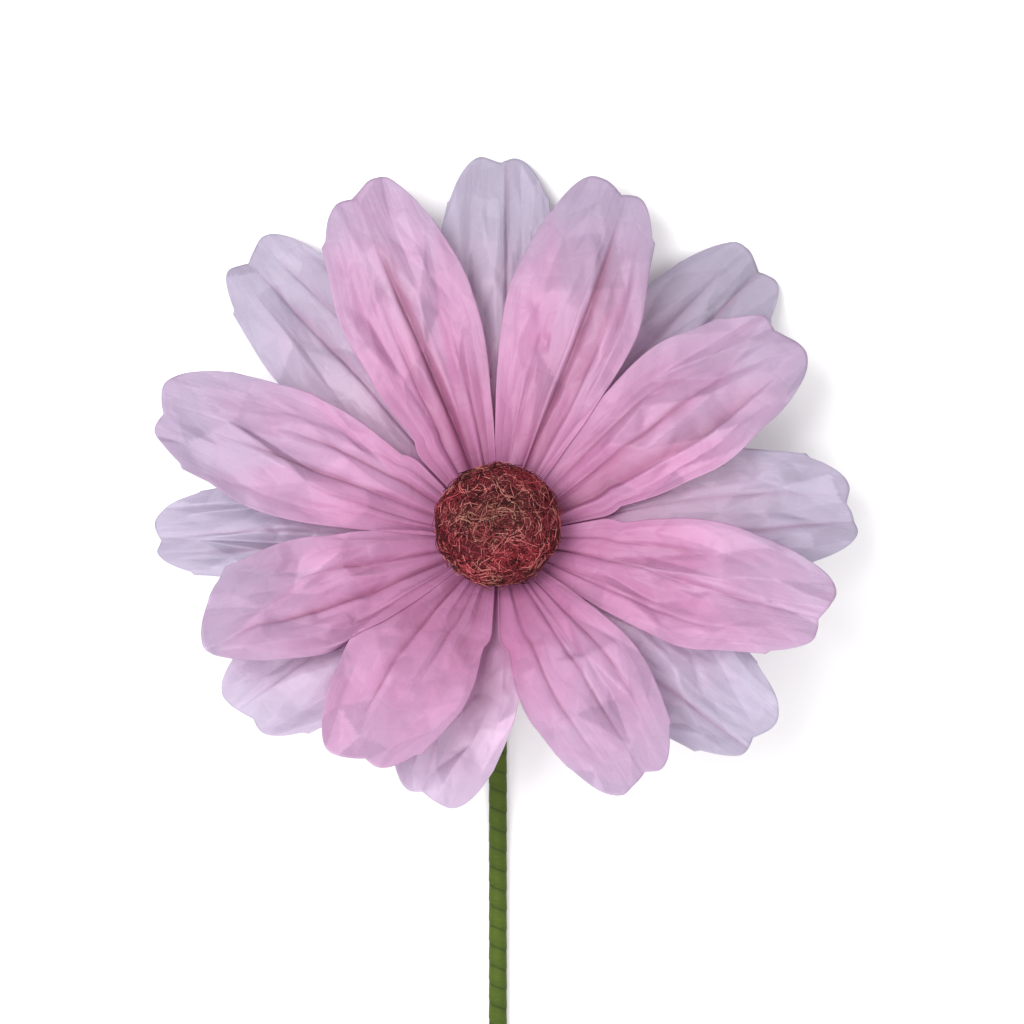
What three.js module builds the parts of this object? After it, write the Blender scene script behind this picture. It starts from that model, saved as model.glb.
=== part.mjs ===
// Large paper gerbera: sixteen gathered paper petals in two layers round a fibre ball, on a long
// tape-wrapped stem. It lies on its back with the flower facing up, the stem along -Y and the
// upper petals along +Y. Millimetres, +Z up, surface at z = 0.
import * as THREE from "three";

// ---- head ----
const HEAD_TILT = THREE.MathUtils.degToRad(16);
const HUB_RISE = 0.225;
const GATHER_GAP = 0.7;
const PAPER = 0.8;

// ---- ball ----
const BALL_RADIUS = 35;
const BALL_HALF_HEIGHT = 27;
const BALL_CLEARANCE = 3.2;
const FIBRE_THICKNESS = 4;
const FIBRE_GAP = 0.8;
const BALL_SIDES = 24;
const BALL_MOUTH_RADIUS = 8;
const CORE_BORE_DEPTH = 16;

// ---- stem ----
const STEM_DIAMETER = 11;
const STEM_LENGTH = 560;
const NECK_BEND_RADIUS = 22;
const WIRE_DIAMETER = 4;
const TAPE_THICKNESS = 0.8;
const STEM_GAP = 0.3;
const CUT_STAGGER = 1;
const TAPE_TOP = 1;
const SLEEVE_TOP = 3;
const TUBE_SIDES = 8;
const NECK_STEPS = 1;
const BEND_STEPS = 10;
const RUN_STEPS = 4;

// ---- gathered claws, binding and calyx ----
const CLAW_LENGTH = 12;
const CLAW_BEND = 6;
const FRONT_BEND_START = 1;
const BACK_BEND_START = -4;
const FRONT_CLAW_WIDTH = 3.2;
const BACK_CLAW_WIDTH = 4.2;
const BINDING_WIRE = 1.2;
const BINDING_TURNS = 3;
const BINDING_PITCH = 2;
const BINDING_LEVEL = -11;
const CALYX_THICKNESS = 1;
const CALYX_TOP = -5.5;
const CALYX_TAIL = 7;
const CALYX_TAPER = 4;

// ---- petal blades ----
const PETAL_LENGTH = 200;
const PETAL_WIDTH = 72;
const FAN_REACH = 0.66;
const FAN_EASE = 1.6;
const SIDE_GAP = 0.8;
const BLADE_CURVE = 95;
const CURVE_REACH = 18;
const PLEAT_HEIGHT = 1.1;
const PLEAT_REACH = 0.6;
const LOBE_SPLIT = 0.12;
const LOBE_DROP = 0.05;
const NOTCH_DEPTH = 0.035;
const SHOULDER = 0.28;
const COLUMNS = 8;
const BEND_ROWS = 4;
const BLADE_ROWS = 10;
const ROW_SPREAD = 1.25;

// Each petal: azimuth clockwise from +Y, blade length and width as shares of the sizes above,
// rise at the hub, curl to the tip, and which side carries the longer lobe.
const FRONT_PETALS = [
  { azimuth: 19, length: 1.085, width: 1.08, rise: 19, curl: 16, lobe: -1 },
  { azimuth: 58, length: 1.015, width: 1, rise: 20, curl: 14, lobe: -1 },
  { azimuth: 108, length: 0.995, width: 1, rise: 24, curl: 14, lobe: -1 },
  { azimuth: 154, length: 0.915, width: 0.972, rise: 27, curl: 12, lobe: -1 },
  { azimuth: 208, length: 0.855, width: 0.972, rise: 28, curl: 12, lobe: 1 },
  { azimuth: 250, length: 0.91, width: 1, rise: 24, curl: 12, lobe: 1 },
  { azimuth: 289, length: 1.035, width: 1.03, rise: 21, curl: 14, lobe: 1 },
  { azimuth: 338, length: 1.1, width: 1.08, rise: 19, curl: 16, lobe: 1 },
];
const BACK_PETALS = [
  { azimuth: 1, length: 1.15, width: 1, rise: 11, curl: 13, lobe: -1 },
  { azimuth: 42, length: 1.135, width: 1.06, rise: 10, curl: 20.5, lobe: -1 },
  { azimuth: 85, length: 1.015, width: 1.03, rise: 11, curl: 14, lobe: 1 },
  { azimuth: 130, length: 0.9, width: 0.944, rise: 14, curl: 12, lobe: -1 },
  { azimuth: 192, length: 0.785, width: 0.917, rise: 16, curl: 8, lobe: -1 },
  { azimuth: 232, length: 0.845, width: 0.972, rise: 15, curl: 12, lobe: 1 },
  { azimuth: 270, length: 0.955, width: 0.972, rise: 11, curl: 14, lobe: 1 },
  { azimuth: 322, length: 1.135, width: 1.06, rise: 10, curl: 19, lobe: 1 },
];

const pinkPaper = new THREE.MeshStandardMaterial({ color: 0xd9a2c4, roughness: 0.75, metalness: 0 });
const palePaper = new THREE.MeshStandardMaterial({ color: 0xcfaac9, roughness: 0.75, metalness: 0 });
const fibre = new THREE.MeshStandardMaterial({ color: 0x8f4548, roughness: 0.95, metalness: 0 });
const foam = new THREE.MeshStandardMaterial({ color: 0x5c2a30, roughness: 0.9, metalness: 0 });
const tape = new THREE.MeshStandardMaterial({ color: 0x516b26, roughness: 0.7, metalness: 0 });
const card = new THREE.MeshStandardMaterial({ color: 0x8a8468, roughness: 0.9, metalness: 0 });
const steel = new THREE.MeshStandardMaterial({ color: 0x9a9c9e, roughness: 0.4, metalness: 1 });

// The upper back petals droop from the hub just as far as the surface.
const HUB_HEIGHT = HUB_RISE * PETAL_LENGTH;

const smooth = (x) => THREE.MathUtils.smoothstep(x, 0, 1);

// ---- nested radii round the stem, each clear of the last ----
const STEM_RADIUS = STEM_DIAMETER / 2;
const FRONT_CLAW_RADIUS = STEM_RADIUS + STEM_GAP + PAPER / 2;
const BACK_CLAW_RADIUS = FRONT_CLAW_RADIUS + PAPER + GATHER_GAP;
const BINDING_RADIUS = BACK_CLAW_RADIUS + PAPER / 2 + STEM_GAP + BINDING_WIRE / 2;
const CALYX_RADIUS = BINDING_RADIUS + BINDING_WIRE / 2 + STEM_GAP + CALYX_THICKNESS;
const CLAW_END = BACK_BEND_START - CLAW_LENGTH;

function mesh(name, geometry, material) {
  const part = new THREE.Mesh(geometry, material);
  part.name = name;
  return part;
}

// ---- petals ----
// The centre line climbs the neck as a claw, bends out at the hub and curls gently to the tip.
function centreLine(petal, ring) {
  const line = [];
  const steps = 120;
  const length = petal.length * PETAL_LENGTH;
  const total = ring.claw + length;
  let radius = ring.radius;
  let level = ring.bendStart - ring.claw;
  for (let i = 0; i <= steps; i++) {
    const along = (total * i) / steps - ring.claw;
    const bent = smooth(along / CLAW_BEND);
    const reach = Math.max(0, along - CLAW_BEND) / (length - CLAW_BEND);
    const degrees = 90 + (petal.rise - 90) * bent - petal.curl * Math.pow(reach, 1.2);
    const slope = THREE.MathUtils.degToRad(degrees);
    line.push({ along, radius, level, slope });
    radius += (Math.cos(slope) * total) / steps;
    level += (Math.sin(slope) * total) / steps;
  }
  return line;
}

function pointOn(line, along) {
  const span = line[line.length - 1].along - line[0].along;
  const place = ((along - line[0].along) / span) * (line.length - 1);
  const index = Math.min(line.length - 2, Math.max(0, Math.floor(place)));
  const part = place - index;
  const mix = (key) => line[index][key] * (1 - part) + line[index + 1][key] * part;
  return { radius: mix("radius"), level: mix("level"), slope: mix("slope") };
}

// Half the angle each petal may fill, up to the nearer of its two neighbours in the layer.
function withRoom(petals) {
  const turn = (from, to) => (to.azimuth - from.azimuth + 360) % 360;
  return petals.map((petal, index) => {
    const next = petals[(index + 1) % petals.length];
    const last = petals[(index + petals.length - 1) % petals.length];
    const gap = Math.min(turn(petal, next), turn(last, petal));
    return { ...petal, room: THREE.MathUtils.degToRad(gap / 2) };
  });
}

// Half the flat width at a distance along the blade: narrow claw, widening fan, full blade,
// and never past the petal's room at that radius.
function halfWidth(petal, ring, along, radius) {
  const claw = ring.clawWidth / 2;
  const fan = Math.min(1, Math.max(0, along - CLAW_BEND) / (FAN_REACH * petal.length * PETAL_LENGTH));
  const blade = (petal.width * PETAL_WIDTH) / 2;
  const fanned = claw + (blade - claw) * (1 - Math.pow(1 - fan, FAN_EASE));
  return Math.min(fanned, radius * Math.sin(petal.room) - SIDE_GAP / 2);
}

// Share of the blade length reached at u (-1..1): two rounded lobes, one longer, and a notch.
function tipShare(petal, u) {
  const side = u * petal.lobe;
  const drop = side < LOBE_SPLIT ? LOBE_DROP : 0;
  const notch = NOTCH_DEPTH * Math.exp(-Math.pow((side - LOBE_SPLIT) / 0.1, 2));
  return 1 - drop * smooth(Math.abs(side - LOBE_SPLIT) / 0.3) - notch - SHOULDER * Math.pow(Math.abs(u), 3);
}

// Column places across the blade, drawn over so that the middle one meets the notch.
function acrossAt(petal, i) {
  const even = (2 * i) / COLUMNS - 1;
  return even + LOBE_SPLIT * petal.lobe * (1 - even * even);
}

// Row places along the blade: the claw's end, closely round the bend, then wider to the tip.
function alongAt(petal, ring, u, j) {
  if (j === 0) return -ring.claw;
  if (j <= BEND_ROWS + 1) return (CLAW_BEND * (j - 1)) / BEND_ROWS;
  const share = Math.pow((j - BEND_ROWS - 1) / BLADE_ROWS, ROW_SPREAD);
  const edge = petal.length * PETAL_LENGTH * tipShare(petal, u);
  return CLAW_BEND + (edge - CLAW_BEND) * share;
}

function petalPoint(petal, ring, line, i, j) {
  const u = acrossAt(petal, i);
  const along = alongAt(petal, ring, u, j);
  const centre = pointOn(line, along);
  const across = u * halfWidth(petal, ring, along, centre.radius);
  const open = smooth((along - CLAW_BEND) / CURVE_REACH);
  const bend = (1 - open) / ring.radius + open / BLADE_CURVE;
  const sideways = Math.sin(across * bend) / bend;
  const fade = smooth(along / CURVE_REACH) * (1 - smooth(along / (PLEAT_REACH * PETAL_LENGTH)));
  const pleat = PLEAT_HEIGHT * fade * Math.cos(i * Math.PI);
  const lift = (1 - Math.cos(across * bend)) / bend + pleat;
  const outward = centre.radius - Math.sin(centre.slope) * lift;
  const upward = centre.level + Math.cos(centre.slope) * lift;
  return new THREE.Vector3(sideways, outward, upward);
}

function petalGeometry(petal, ring) {
  const line = centreLine(petal, ring);
  const rows = 1 + BEND_ROWS + BLADE_ROWS;
  const middle = (i, j) => petalPoint(petal, ring, line, i, j);
  const positions = [];
  const indices = [];
  for (const side of [1, -1]) {
    for (let j = 0; j <= rows; j++) {
      for (let i = 0; i <= COLUMNS; i++) {
        const acrossStep = middle(Math.min(i + 1, COLUMNS), j).sub(middle(Math.max(i - 1, 0), j));
        const alongStep = middle(i, Math.min(j + 1, rows)).sub(middle(i, Math.max(j - 1, 0)));
        const normal = acrossStep.cross(alongStep).normalize();
        const point = middle(i, j).addScaledVector(normal, (side * PAPER) / 2);
        positions.push(point.x, point.y, point.z);
      }
    }
  }
  const layer = (COLUMNS + 1) * (rows + 1);
  const at = (side, i, j) => side * layer + j * (COLUMNS + 1) + i;
  const quad = (a, b, c, d) => indices.push(a, b, c, a, c, d);
  for (let j = 0; j < rows; j++) {
    for (let i = 0; i < COLUMNS; i++) {
      quad(at(0, i, j), at(0, i + 1, j), at(0, i + 1, j + 1), at(0, i, j + 1));
      quad(at(1, i, j), at(1, i, j + 1), at(1, i + 1, j + 1), at(1, i + 1, j));
    }
    quad(at(0, 0, j), at(0, 0, j + 1), at(1, 0, j + 1), at(1, 0, j));
    quad(at(0, COLUMNS, j), at(1, COLUMNS, j), at(1, COLUMNS, j + 1), at(0, COLUMNS, j + 1));
  }
  for (let i = 0; i < COLUMNS; i++) {
    quad(at(0, i, 0), at(1, i, 0), at(1, i + 1, 0), at(0, i + 1, 0));
    quad(at(0, i, rows), at(0, i + 1, rows), at(1, i + 1, rows), at(1, i, rows));
  }
  const geometry = new THREE.BufferGeometry();
  geometry.setAttribute("position", new THREE.Float32BufferAttribute(positions, 3));
  geometry.setIndex(indices);
  geometry.rotateZ(-THREE.MathUtils.degToRad(petal.azimuth));
  geometry.computeVertexNormals();
  return geometry;
}

const frontRing = {
  radius: FRONT_CLAW_RADIUS,
  bendStart: FRONT_BEND_START,
  claw: FRONT_BEND_START - CLAW_END,
  clawWidth: FRONT_CLAW_WIDTH,
};
const backRing = {
  radius: BACK_CLAW_RADIUS,
  bendStart: BACK_BEND_START,
  claw: BACK_BEND_START - CLAW_END,
  clawWidth: BACK_CLAW_WIDTH,
};

const head = new THREE.Group();
withRoom(FRONT_PETALS).forEach((petal, index) => {
  head.add(mesh(`front_petal_${index + 1}`, petalGeometry(petal, frontRing), pinkPaper));
});
withRoom(BACK_PETALS).forEach((petal, index) => {
  head.add(mesh(`back_petal_${index + 1}`, petalGeometry(petal, backRing), palePaper));
});

// ---- ball: a bored core under a cover of curled fibre ----
// Lathe profiles run round the closed section with the solid on their left.
function lathe(profile, segments) {
  const points = profile.map(([radius, level]) => new THREE.Vector2(radius, level));
  const geometry = new THREE.LatheGeometry(points, segments);
  geometry.rotateX(Math.PI / 2);
  return geometry;
}

// The oval ball sits just above the steepest front petal, whose slope touches its underside.
const steepest = Math.max(...FRONT_PETALS.map((petal) => petal.rise));
const slope = Math.tan(THREE.MathUtils.degToRad(steepest));
const underside = Math.hypot(BALL_HALF_HEIGHT, slope * BALL_RADIUS);
const BALL_CENTRE = FRONT_BEND_START + underside + BALL_CLEARANCE;

// Points up an oval from an angle below the middle to its pole on the axis.
function ovalArc(radius, halfHeight, from, steps) {
  const points = [];
  for (let i = 0; i <= steps; i++) {
    const angle = from + ((Math.PI / 2 - from) * i) / steps;
    const out = i === steps ? 0 : radius * Math.cos(angle);
    points.push([out, BALL_CENTRE + halfHeight * Math.sin(angle)]);
  }
  return points;
}

const innerRadius = BALL_RADIUS - FIBRE_THICKNESS;
const innerHalfHeight = BALL_HALF_HEIGHT - FIBRE_THICKNESS;
const mouthOuter = -Math.acos(BALL_MOUTH_RADIUS / BALL_RADIUS);
const mouthInner = -Math.acos(BALL_MOUTH_RADIUS / innerRadius);
const coverOutside = ovalArc(BALL_RADIUS, BALL_HALF_HEIGHT, mouthOuter, 12);
const coverInside = ovalArc(innerRadius, innerHalfHeight, mouthInner, 10).reverse();
const cover = lathe([...coverInside, ...coverOutside], BALL_SIDES);
head.add(mesh("ball_fibre", cover, fibre));

const coreRadius = innerRadius - FIBRE_GAP;
const coreHalfHeight = innerHalfHeight - FIBRE_GAP;
const boreRadius = WIRE_DIAMETER / 2 + STEM_GAP;
const boreStart = -Math.acos(boreRadius / coreRadius);
const coreOutside = ovalArc(coreRadius, coreHalfHeight, boreStart, 10);
const boreTop = coreOutside[0][1] + CORE_BORE_DEPTH;
const core = lathe([[0, boreTop], [boreRadius, boreTop], ...coreOutside], BALL_SIDES);
head.add(mesh("ball_core", core, foam));

// ---- binding wire and calyx wrap, holding the claws against the stem ----
class Helix extends THREE.Curve {
  getPoint(t, target = new THREE.Vector3()) {
    const angle = 2 * Math.PI * BINDING_TURNS * t;
    const level = BINDING_LEVEL + BINDING_PITCH * (BINDING_TURNS * t - BINDING_TURNS / 2);
    return target.set(BINDING_RADIUS * Math.cos(angle), BINDING_RADIUS * Math.sin(angle), level);
  }
}

function ring(radius, sides, hole) {
  const shape = new THREE.Shape();
  shape.absarc(0, 0, radius, 0, 2 * Math.PI, false);
  if (hole > 0) {
    const inside = new THREE.Path();
    inside.absarc(0, 0, hole, 0, 2 * Math.PI, true);
    shape.holes.push(inside);
  }
  return { shape, curveSegments: sides };
}

function sweep(section, path, steps) {
  return new THREE.ExtrudeGeometry(section.shape, {
    steps,
    extrudePath: path,
    curveSegments: section.curveSegments,
    bevelEnabled: false,
  });
}

const bindingSection = ring(BINDING_WIRE / 2, 3, 0);
head.add(mesh("binding_wire", sweep(bindingSection, new Helix(), 16 * BINDING_TURNS), steel));

const calyxTail = CLAW_END - CALYX_TAIL;
const calyxInside = STEM_RADIUS + STEM_GAP;
const calyx = lathe([
  [CALYX_RADIUS - CALYX_THICKNESS, CALYX_TOP],
  [CALYX_RADIUS - CALYX_THICKNESS, CLAW_END - 1],
  [calyxInside, CLAW_END - CALYX_TAPER],
  [calyxInside, calyxTail],
  [calyxInside + CALYX_THICKNESS, calyxTail],
  [calyxInside + CALYX_THICKNESS, CLAW_END - CALYX_TAPER - 1],
  [CALYX_RADIUS, CLAW_END - 2],
  [CALYX_RADIUS, CALYX_TOP],
  [CALYX_RADIUS - CALYX_THICKNESS, CALYX_TOP],
], 20);
head.add(mesh("calyx_wrap", calyx, tape));

head.rotation.x = -HEAD_TILT;
head.position.z = HUB_HEIGHT;

// ---- stem: down the head's axis, round the neck bend, then along the surface ----
// Its three stretches share the parameter by steps, so the straight run needs few of them.
class StemLine extends THREE.Curve {
  constructor(topLevel, cutBack) {
    super();
    const down = new THREE.Vector3(0, -Math.sin(HEAD_TILT), -Math.cos(HEAD_TILT));
    const hub = new THREE.Vector3(0, 0, HUB_HEIGHT);
    const bendDrop = NECK_BEND_RADIUS * (1 - Math.sin(HEAD_TILT));
    const neck = (HUB_HEIGHT - STEM_RADIUS - bendDrop) / Math.cos(HEAD_TILT);
    const turn = Math.PI / 2 - HEAD_TILT;
    this.top = hub.clone().addScaledVector(down, -topLevel);
    this.bendStart = hub.clone().addScaledVector(down, neck);
    this.centreY = this.bendStart.y - NECK_BEND_RADIUS * Math.cos(HEAD_TILT);
    this.run = STEM_LENGTH - neck - turn * NECK_BEND_RADIUS - cutBack;
  }

  getPoint(t, target = new THREE.Vector3()) {
    const place = t * (NECK_STEPS + BEND_STEPS + RUN_STEPS);
    if (place <= NECK_STEPS) {
      return target.copy(this.top).lerp(this.bendStart, place / NECK_STEPS);
    }
    const turned = Math.min(1, (place - NECK_STEPS) / BEND_STEPS);
    const angle = HEAD_TILT + (Math.PI / 2 - HEAD_TILT) * turned;
    const onward = Math.max(0, place - NECK_STEPS - BEND_STEPS) / RUN_STEPS;
    const y = this.centreY + NECK_BEND_RADIUS * Math.cos(angle) - this.run * onward;
    return target.set(0, y, STEM_RADIUS + NECK_BEND_RADIUS * (1 - Math.sin(angle)));
  }

  getPointAt(u, target) {
    return this.getPoint(u, target);
  }

  getTangentAt(u, target) {
    return this.getTangent(u, target);
  }
}

function stemTube(name, outer, inner, topLevel, cutBack, material) {
  const line = new StemLine(topLevel, cutBack);
  const tube = sweep(ring(outer, TUBE_SIDES, inner), line, NECK_STEPS + BEND_STEPS + RUN_STEPS);
  return mesh(name, tube, material);
}

const wireRadius = WIRE_DIAMETER / 2;
const tapeInside = STEM_RADIUS - TAPE_THICKNESS;
const wireTop = boreTop - STEM_GAP;
const flower = new THREE.Group();
flower.add(head);
flower.add(stemTube("stem_tape", STEM_RADIUS, tapeInside, TAPE_TOP, 0, tape));
flower.add(stemTube("stem_sleeve", tapeInside - STEM_GAP, boreRadius, SLEEVE_TOP, CUT_STAGGER, card));
flower.add(stemTube("stem_wire", wireRadius, 0, wireTop, CUT_STAGGER, steel));

// ---- origin: the middle of the whole flower's footprint, on the surface ----
flower.updateMatrixWorld(true);
const bounds = new THREE.Box3().setFromObject(flower, true);
const centre = bounds.getCenter(new THREE.Vector3());
flower.position.set(-centre.x, -centre.y, -bounds.min.z);

const part = new THREE.Group();
part.add(flower);

export default part;
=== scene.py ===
"""Large paper gerbera lying on its back: gathered paper petals, a curled-fibre ball and a taped stem."""

import logging
import math
from dataclasses import dataclass
from enum import Enum

import bmesh
import bpy
import numpy as np
from bpy.types import Material, Mesh, Node, NodeSocket, NodeTree, Object
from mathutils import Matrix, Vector, noise
from mathutils.bvhtree import BVHTree
from mathutils.geometry import delaunay_2d_cdt


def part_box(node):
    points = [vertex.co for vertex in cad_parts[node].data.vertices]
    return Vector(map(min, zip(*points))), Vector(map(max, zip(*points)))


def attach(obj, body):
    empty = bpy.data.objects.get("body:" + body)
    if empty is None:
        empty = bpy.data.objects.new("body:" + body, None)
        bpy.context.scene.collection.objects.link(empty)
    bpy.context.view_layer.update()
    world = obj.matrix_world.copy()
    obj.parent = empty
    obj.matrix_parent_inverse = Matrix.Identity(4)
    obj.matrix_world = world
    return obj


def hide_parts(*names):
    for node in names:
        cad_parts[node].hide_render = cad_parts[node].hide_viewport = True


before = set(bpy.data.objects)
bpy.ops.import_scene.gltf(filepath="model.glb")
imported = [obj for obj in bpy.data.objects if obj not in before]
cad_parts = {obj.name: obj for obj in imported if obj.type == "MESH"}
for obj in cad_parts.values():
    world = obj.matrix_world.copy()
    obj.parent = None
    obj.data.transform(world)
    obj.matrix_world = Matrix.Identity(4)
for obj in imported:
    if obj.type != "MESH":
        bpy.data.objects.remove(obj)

logging.basicConfig(level=logging.INFO, format="%(message)s")
log = logging.getLogger("gerbera")

MM = 0.001
DOWN = Vector((0, 0, -1))
Array = np.ndarray
Colour = tuple[float, float, float]
Span = tuple[float, float]
WHITE = (1.0, 1.0, 1.0)


class Layer(Enum):
    """Which of the two rings a petal is gathered in."""

    FRONT = "front"
    BACK = "back"


class Fold(Enum):
    """The section of a crease in the paper."""

    GROOVE = "groove"
    STEP = "step"


def smooth(x: Array) -> Array:
    """Ease values from 0 to 1."""
    x = np.clip(x, 0.0, 1.0)
    return x * x * (3 - 2 * x)


def eased(x: Array, span: Span) -> Array:
    """Ease values from 0 to 1 over a span, which is a start and a length."""
    return smooth((x - span[0]) / span[1])


# --- materials


class Nodes:
    """A small helper that adds and links the nodes of one tree."""

    def __init__(self, tree: NodeTree) -> None:
        """Keep the tree to add to."""
        self.tree = tree

    def add(self, kind: str, **values: object) -> Node:
        """Add a node and set its properties or sockets.

        Args:
            kind: The node's type name, without its prefix.
            values: Property or socket values, by name, with _ for a space in a socket's name.

        Returns:
            The new node.
        """
        node = self.tree.nodes.new("ShaderNode" + kind)
        for name, value in values.items():
            if hasattr(node, name):
                setattr(node, name, value)
            else:
                self.feed(node.inputs[name.replace("_", " ")], value)
        return node

    def dress(self, node: Node, **values: object) -> None:
        """Feed a shader's sockets.

        Args:
            node: The shader.
            values: Values or outputs, by socket name with _ for a space.
        """
        for name, value in values.items():
            self.feed(node.inputs[name.replace("_", " ")], value)

    def bump(self, strength: float, distance: float, height: NodeSocket) -> NodeSocket:
        """Turn a height into a bumped normal; the distance is in metres."""
        return self.add("Bump", Strength=strength, Distance=distance, Height=height).outputs[0]

    def feed(self, socket: NodeSocket, value: object) -> None:
        """Link an output into a socket, or set its constant.

        Args:
            socket: The input socket.
            value: An output socket or a constant.
        """
        if isinstance(value, NodeSocket):
            self.tree.links.new(value, socket)
        else:
            socket.default_value = value

    def math(self, operation: str, a: object, b: object = 0.0, clamp: bool = False) -> NodeSocket:
        """Add a Math node.

        Args:
            operation: The Math node's operation.
            a: First value or output.
            b: Second value or output.
            clamp: Whether to hold the result between 0 and 1.

        Returns:
            The node's output.
        """
        node = self.add("Math", operation=operation, use_clamp=clamp)
        self.feed(node.inputs[0], a)
        self.feed(node.inputs[1], b)
        return node.outputs[0]

    def mix(self, share: object, a: object, b: object, blend: str = "MIX") -> NodeSocket:
        """Add a colour mix.

        Args:
            share: How much of the second colour.
            a: First colour.
            b: Second colour.
            blend: The mix's blend type.

        Returns:
            The mixed colour.
        """
        node = self.add("Mix", data_type="RGBA", blend_type=blend)
        self.feed(node.inputs["Factor"], share)
        self.feed(node.inputs[6], a)
        self.feed(node.inputs[7], b)
        return node.outputs[2]

    def ramp(self, share: object, stops: tuple[tuple[float, tuple], ...]) -> NodeSocket:
        """Add a colour ramp.

        Args:
            share: The value looked up.
            stops: Pairs of place and colour.

        Returns:
            The colour output.
        """
        node = self.add("ValToRGB")
        self.feed(node.inputs[0], share)
        while len(node.color_ramp.elements) < len(stops):
            node.color_ramp.elements.new(0.5)
        for element, (place, colour) in zip(node.color_ramp.elements, stops):
            element.position = place
            element.color = (*colour, 1.0)
        return node.outputs[0]

    def noise(self, place: NodeSocket, scale: object, detail: float, **values: float) -> NodeSocket:
        """Add a noise texture that reads the given coordinates."""
        return self.add("TexNoise", Vector=place, Scale=scale, Detail=detail, **values).outputs["Fac"]

    def attribute(self, name: str) -> NodeSocket:
        """Read one of the piece's own attributes."""
        return self.add("Attribute", attribute_name=name).outputs["Fac"]

    def place(self) -> NodeSocket:
        """Read the Object coordinates."""
        return self.add("TexCoord").outputs["Object"]

    def uv(self) -> NodeSocket:
        """Read the piece's UV map."""
        return self.add("UVMap", uv_map="UVMap").outputs[0]


def start_material(name: str) -> tuple[Material, Nodes, Node]:
    """Start a material with a Principled shader.

    Args:
        name: The material's name.

    Returns:
        The material, the helper for its nodes and its shader.
    """
    material = bpy.data.materials.new(name)
    material.use_nodes = True
    return material, Nodes(material.node_tree), material.node_tree.nodes["Principled BSDF"]


def paper_group() -> NodeTree:
    """Build the tissue-paper effect: cloudy tone, long pulp fibres and crinkled height.

    Returns:
        A node group with outputs Tone, from 0 to 1, and Height.
    """
    group = bpy.data.node_groups.new("tissue_paper", "ShaderNodeTree")
    group.interface.new_socket("Cloud Scale", in_out="INPUT", socket_type="NodeSocketFloat")
    group.interface.new_socket("Tone", in_out="OUTPUT", socket_type="NodeSocketFloat")
    group.interface.new_socket("Height", in_out="OUTPUT", socket_type="NodeSocketFloat")
    kit = Nodes(group)
    source = group.nodes.new("NodeGroupInput")
    sink = group.nodes.new("NodeGroupOutput")
    place = kit.place()
    cloud = kit.noise(place, source.outputs[0], 4.0, Roughness=0.6)
    crinkle = kit.add("TexVoronoi", feature="DISTANCE_TO_EDGE", Vector=place, Scale=60.0)
    ease = kit.math("MINIMUM", crinkle.outputs["Distance"], 0.12)
    across = kit.add("Mapping", Vector=kit.uv(), Scale=(24.0, 1.6, 1.0))
    drift = kit.add("Mapping", Vector=place, Scale=(5.0, 5.0, 5.0))
    joined = kit.add("VectorMath", operation="ADD")
    kit.feed(joined.inputs[0], across.outputs[0])
    kit.feed(joined.inputs[1], drift.outputs[0])
    streak = kit.noise(joined.outputs[0], 1.0, 3.0, Roughness=0.55)
    height = kit.math("MULTIPLY", ease, 2.2)
    grain, soft = kit.noise(place, 900.0, 2.0), kit.noise(place, 160.0, 3.0)
    for layer, weight in ((grain, 0.25), (soft, 0.5), (streak, 0.9)):
        height = kit.math("ADD", height, kit.math("MULTIPLY", layer, weight))
    kit.feed(sink.inputs["Tone"], cloud)
    kit.feed(sink.inputs["Height"], height)
    return group


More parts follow.
